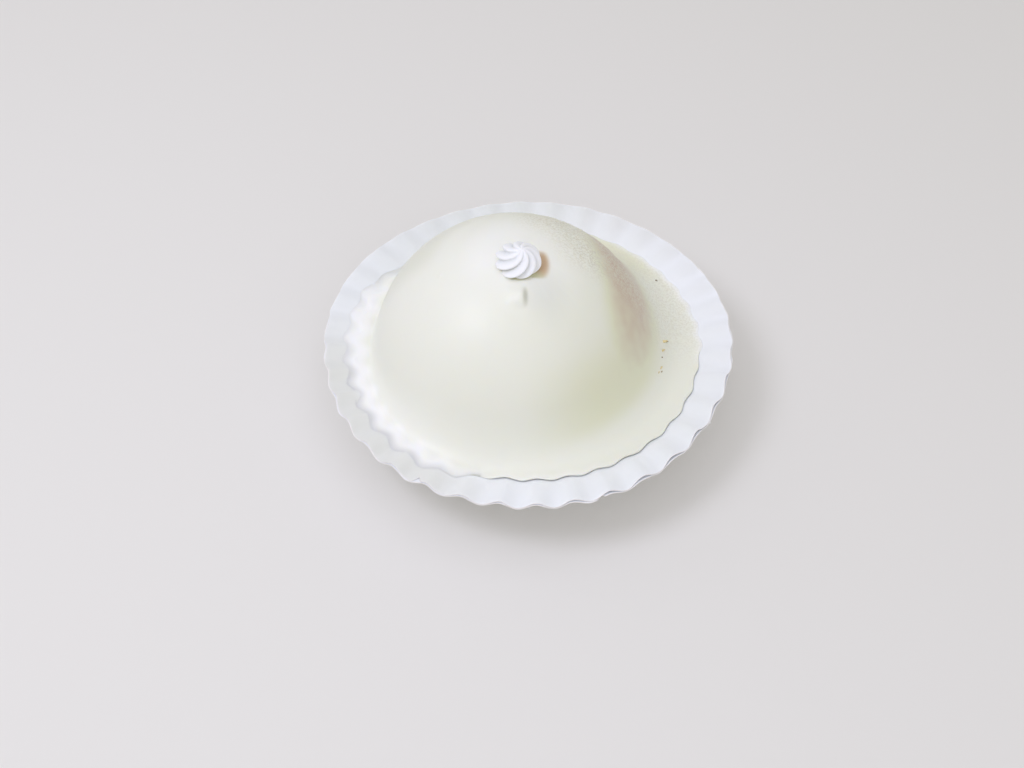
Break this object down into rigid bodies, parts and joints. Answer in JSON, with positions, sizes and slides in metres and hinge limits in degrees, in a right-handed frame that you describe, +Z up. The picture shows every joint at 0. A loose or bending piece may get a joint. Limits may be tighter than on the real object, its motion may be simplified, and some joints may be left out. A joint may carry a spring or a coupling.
{
  "type": "lemon dome cake",
  "caption": "Small round lemon dome cake coated with pale glaze, in a fluted white paper case, with a piped cream rosette on top.",
  "frame": {"origin": "on the flat underside of the paper case, below the middle of its rim", "axes": "+Z up through the cake; -Y to the front, where the case flares out furthest; +X to the right"},
  "size_m": [0.1197, 0.12, 0.058],
  "materials": {
    "case_paper": "smooth white coated paper with a faint satin shine",
    "lemon_glaze": "pale cream-white poured glaze, satin, slightly translucent",
    "whipped_cream": "soft matte white cream"
  },
  "bodies": {
    "root": {"outer_case": "case_paper", "inner_case": "case_paper", "glazed_cake": "lemon_glaze", "cream_rosette": "whipped_cream"}
  },
  "joints": []
}
